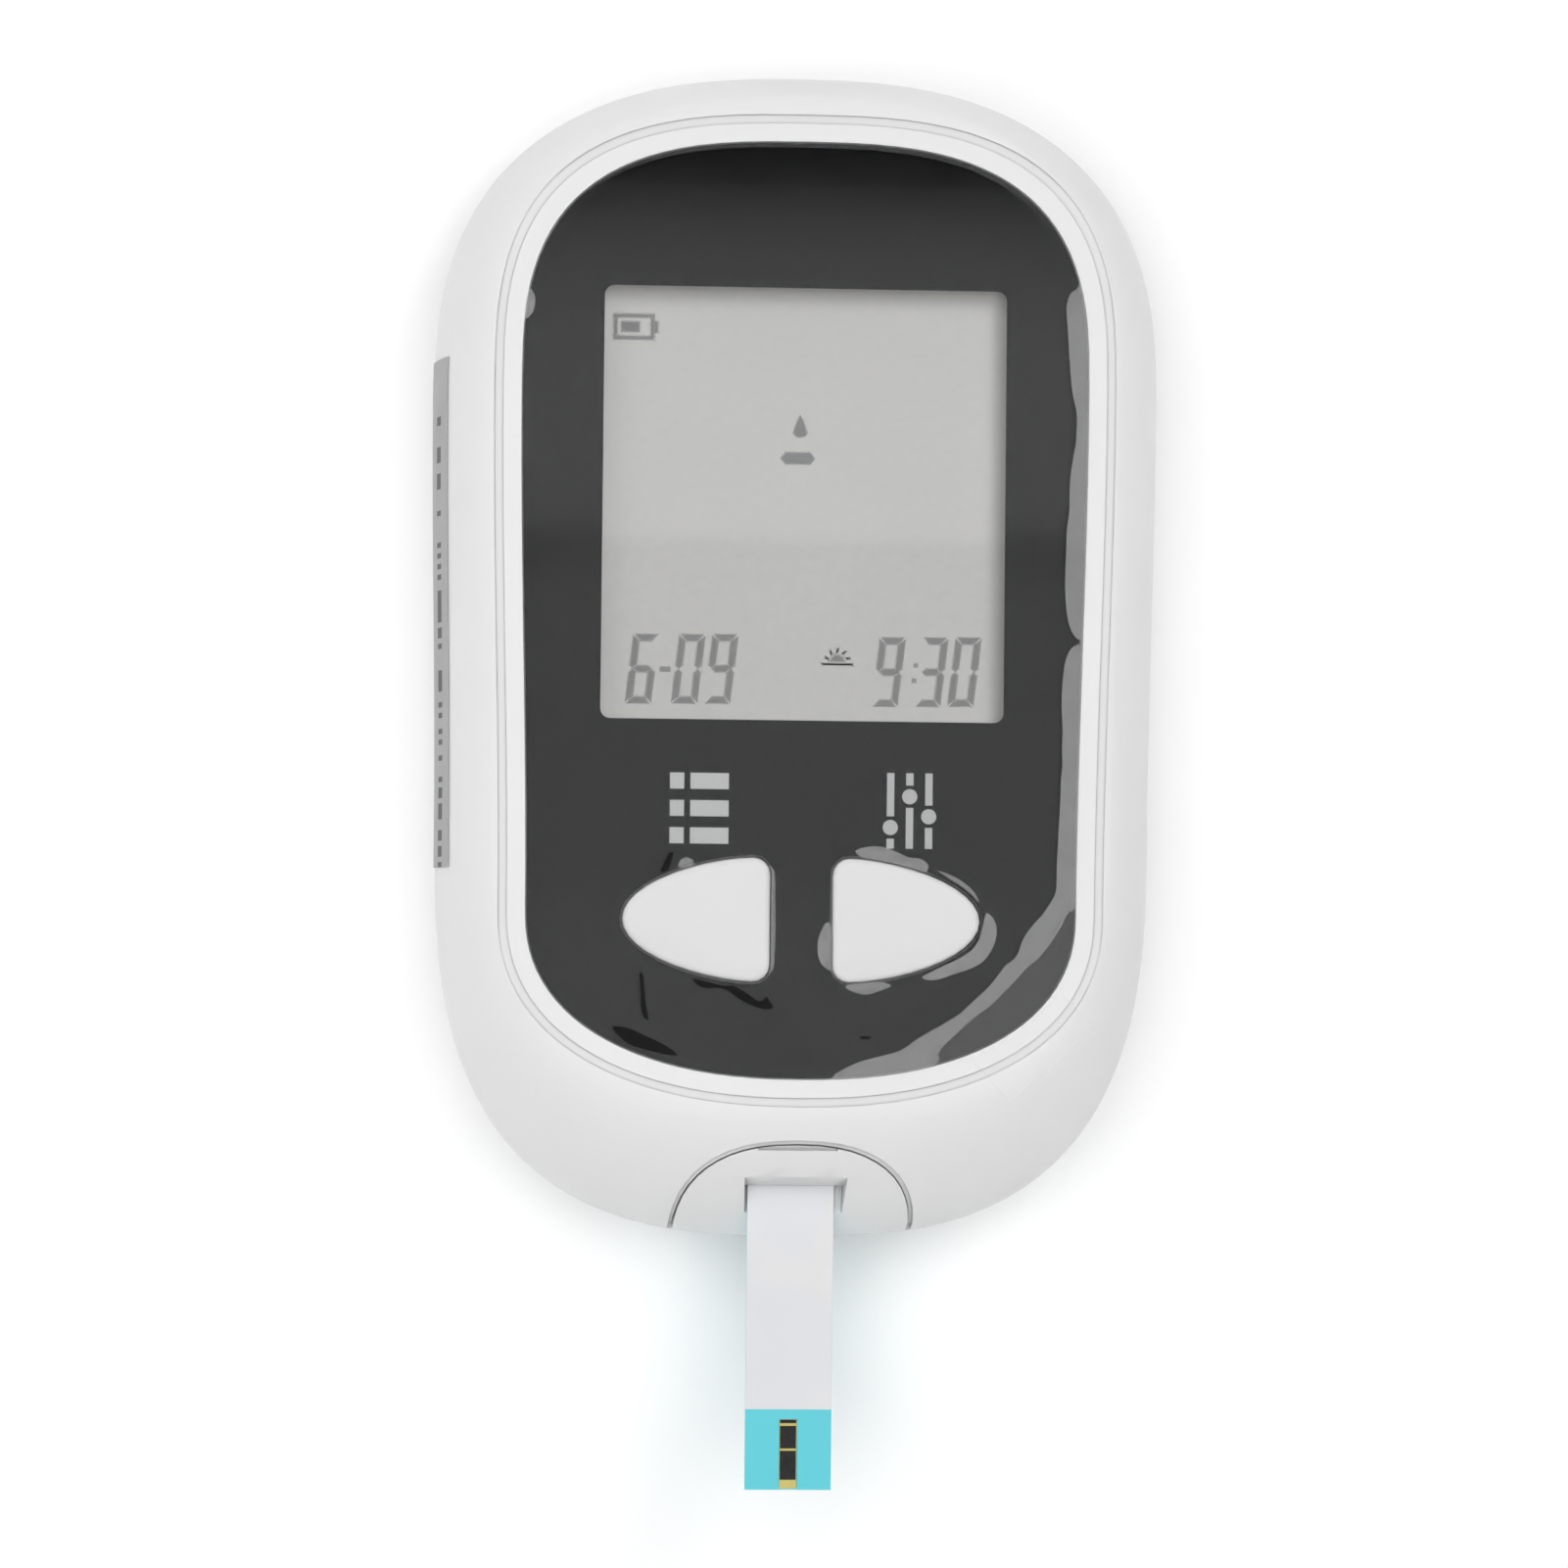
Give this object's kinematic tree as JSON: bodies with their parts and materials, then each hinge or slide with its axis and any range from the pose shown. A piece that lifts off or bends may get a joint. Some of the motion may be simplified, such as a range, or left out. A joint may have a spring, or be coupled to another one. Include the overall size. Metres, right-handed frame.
{
  "type": "blood glucose meter",
  "caption": "Palm-size glucose meter: pebble housing, dark panel with a display window, two half-oval buttons, battery door, and a test strip in its end port.",
  "frame": {"origin": "centre of the housing's flat back, on the plane that it rests on", "axes": "+X to the right and +Y towards the top of the display as it is read, +Z out of the display; the strip leaves towards -Y"},
  "size_m": [0.0599, 0.1157, 0.0223],
  "materials": {
    "shell_plastic": "satin moulded ABS",
    "button_plastic": "satin moulded plastic",
    "clear_plastic": "clear polished sheet",
    "panel_print": "dark grey print behind the panel",
    "film_plastic": "thin clear film",
    "label_paper": "matt grey, blank",
    "lcd_glass": "display glass with polarisers",
    "reflector_sheet": "pale grey reflector",
    "frame_plastic": "moulded",
    "foam": "soft foam",
    "elastomer": "striped silicone",
    "board_laminate": "solder mask",
    "chip_plastic": "moulded epoxy",
    "steel": "nickel plated",
    "ceramic_chip": "fired",
    "gold_contact": "gold plated",
    "connector_plastic": "moulded",
    "cell_sleeve": "printed sleeve, plain",
    "strip_teal": "printed polyester",
    "reagent_print": "dried ink",
    "strip_pearl": "pearly polyester film"
  },
  "bodies": {
    "housing": {"front_shell": "shell_plastic", "rear_shell": "shell_plastic", "port_cover": "shell_plastic", "lens": "clear_plastic", "lens_mask": "panel_print", "protective_film": "film_plastic", "switch_housings": "chip_plastic", "side_label": "label_paper", "lcd_glass": "lcd_glass", "lcd_reflector": "reflector_sheet", "lcd_frame": "frame_plastic", "lcd_gasket": "foam", "lcd_connectors": "elastomer", "circuit_board": "board_laminate", "processor": "chip_plastic", "small_chips": "chip_plastic", "crystal": "steel", "capacitors": "ceramic_chip", "buzzer": "chip_plastic", "strip_connector": "connector_plastic", "strip_contacts": "gold_contact", "battery_left": "cell_sleeve", "battery_right": "cell_sleeve", "positive_contact": "steel", "negative_contact": "steel", "bridge_contact": "steel", "shell_screws": "steel", "board_screws": "steel"},
    "left_button_body": {"left_button": "button_plastic", "left_switch_plunger": "chip_plastic"},
    "right_button_body": {"right_button": "button_plastic", "right_switch_plunger": "chip_plastic"},
    "door_body": {"battery_door": "shell_plastic"},
    "test_strip": {"strip_base": "strip_teal", "strip_electrodes": "gold_contact", "strip_cover": "strip_pearl", "strip_tip": "strip_teal", "strip_reagent": "reagent_print"}
  },
  "joints": [
    {"name": "left_button_press", "type": "slide", "parent": "housing", "child": "left_button_body", "axis": [0, 0, -1], "range_m": [0, 0.0005], "stiffness_N_per_m": 1600},
    {"name": "right_button_press", "type": "slide", "parent": "housing", "child": "right_button_body", "axis": [0, 0, -1], "range_m": [0, 0.0005], "stiffness_N_per_m": 1600},
    {"name": "battery_door_hinge", "type": "hinge", "parent": "housing", "child": "door_body", "pos_m": [0, -0.02063, 0.0009], "axis": [-1, 0, 0], "range_deg": [0, 50]},
    {"name": "strip_slide", "type": "slide", "parent": "housing", "child": "test_strip", "axis": [0, -1, 0], "range_m": [0, 0.015]}
  ]
}
